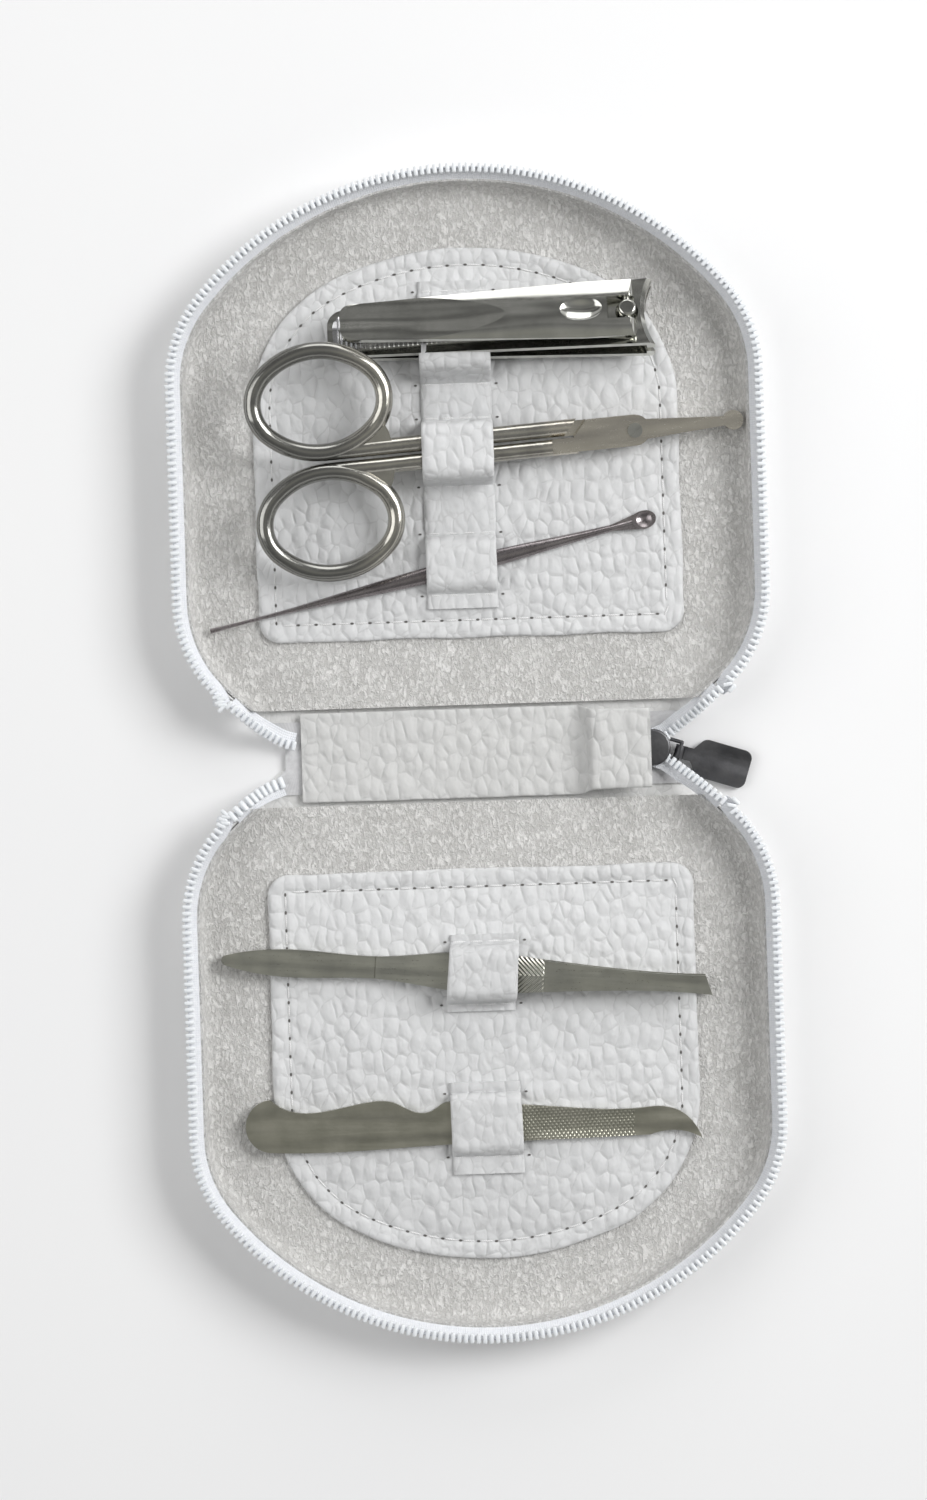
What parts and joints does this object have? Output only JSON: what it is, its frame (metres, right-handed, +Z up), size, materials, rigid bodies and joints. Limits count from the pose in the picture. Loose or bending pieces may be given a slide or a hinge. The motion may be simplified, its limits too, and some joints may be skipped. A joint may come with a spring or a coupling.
{
  "type": "manicure set case",
  "caption": "Zip-around clamshell case lying open flat, with steel manicure tools held in loops on both halves.",
  "frame": {"origin": "middle of the open case at the height of the surface it lies on", "axes": "+X along the fold lines towards the slider, +Y across the spine towards the half that holds the clipper, +Z up out of the open case"},
  "size_m": [0.107, 0.2114, 0.0145],
  "materials": {
    "leatherette": "white coated leatherette with a fine pebbled grain",
    "board": "grey fibre board",
    "suede": "warm off-white suede nap",
    "pebbled_panel": "white pebbled leatherette, satin",
    "zip_tape": "white woven zip tape",
    "zip_teeth": "white moulded coil teeth",
    "satin": "grey-white ribbed satin",
    "dark_nickel": "dark nickel plating, polished",
    "chrome": "polished chrome plating",
    "satin_steel": "satin ground steel"
  },
  "bodies": {
    "lower_half": {"lower_cover": "leatherette", "lower_board": "board", "lower_lining": "suede", "lower_tool_panel": "pebbled_panel", "lower_zip_tape": "zip_tape", "lower_zip_coil": "zip_teeth", "tweezer_strap": "pebbled_panel", "file_strap": "pebbled_panel"},
    "spine": {"spine_cover": "leatherette", "spine_strip": "pebbled_panel", "right_waist_lining": "satin", "left_waist_lining": "satin", "right_zip_end": "zip_tape", "left_zip_end": "zip_tape"},
    "upper_half": {"upper_cover": "leatherette", "upper_board": "board", "upper_lining": "suede", "upper_tool_panel": "pebbled_panel", "upper_zip_tape": "zip_tape", "upper_zip_coil": "zip_teeth", "tool_strap": "pebbled_panel"},
    "slider": {"slider_body": "dark_nickel"},
    "pull": {"slider_pull": "dark_nickel"},
    "clipper": {"clipper_lower_jaw": "chrome", "clipper_rivet": "chrome", "clipper_post": "chrome"},
    "clipper_jaw": {"clipper_upper_jaw": "chrome", "clipper_file": "chrome"},
    "clipper_lever": {"clipper_lever": "chrome", "clipper_pin": "chrome"},
    "scissors": {"scissors_lower_half": "chrome", "scissors_screw": "chrome"},
    "scissors_blade": {"scissors_upper_half": "chrome"},
    "pick": {"pick": "satin_steel"},
    "tweezers": {"tweezer_lower_arm": "satin_steel"},
    "tweezer_arm": {"tweezer_upper_arm": "satin_steel"},
    "nail_file": {"nail_file": "satin_steel"}
  },
  "joints": [
    {"name": "fold_lower", "type": "hinge", "parent": "spine", "child": "lower_half", "pos_m": [0, -0.0082, 0.0015], "axis": [-1, 0, 0], "range_deg": [0, 90]},
    {"name": "fold_upper", "type": "hinge", "parent": "spine", "child": "upper_half", "pos_m": [0, 0.0082, 0.0015], "axis": [1, 0, 0], "range_deg": [0, 90]},
    {"name": "slider_slide", "type": "slide", "parent": "spine", "child": "slider", "axis": [-1, 0, 0], "range_m": [-0.003, 0]},
    {"name": "pull_swing", "type": "hinge", "parent": "slider", "child": "pull", "pos_m": [0.03686, -0.0009, 0.00165], "axis": [0.309, 0.9511, 0], "range_deg": [-80, 0]},
    {"name": "clipper_slide", "type": "slide", "parent": "upper_half", "child": "clipper", "axis": [-0.9998, -0.0175, 0], "range_m": [-0.008, 0]},
    {"name": "clipper_lever_lift", "type": "hinge", "parent": "clipper", "child": "clipper_lever", "pos_m": [0.02946, 0.07834, 0.01229], "axis": [0.0169, -0.9658, 0.2588], "range_deg": [-75, 0]},
    {"name": "clipper_squeeze", "type": "hinge", "parent": "clipper", "child": "clipper_jaw", "pos_m": [-0.0237, 0.07573, 0.00601], "axis": [0.0169, -0.9658, 0.2588], "range_deg": [-1.5, 0], "stiffness_Nm_per_rad": 2},
    {"name": "scissors_slide", "type": "slide", "parent": "upper_half", "child": "scissors", "axis": [0.9952, 0.0762, -0.0608], "range_m": [-0.008, 0]},
    {"name": "scissors_open", "type": "hinge", "parent": "scissors", "child": "scissors_blade", "pos_m": [0.0303, 0.0572, 0.006], "axis": [-0.0693, 0.1149, -0.991], "range_deg": [-0.8, 0]},
    {"name": "pick_slide", "type": "slide", "parent": "upper_half", "child": "pick", "axis": [-0.9759, -0.2181, 0], "range_m": [-0.008, 0]},
    {"name": "tweezers_slide", "type": "slide", "parent": "lower_half", "child": "tweezers", "axis": [-0.9968, 0.0802, 0], "range_m": [-0.005, 0]},
    {"name": "tweezers_squeeze", "type": "hinge", "parent": "tweezers", "child": "tweezer_arm", "pos_m": [-0.01929, -0.03808, 0.00405], "axis": [-0.0802, -0.9968, 0], "range_deg": [-4, 0], "stiffness_Nm_per_rad": 0.5},
    {"name": "file_slide", "type": "slide", "parent": "lower_half", "child": "nail_file", "axis": [-0.9999, 0.0157, 0], "range_m": [-0.008, 0]}
  ],
  "couplings": [
    {"joint": "fold_upper", "follows": "fold_lower", "ratio": 1}
  ]
}
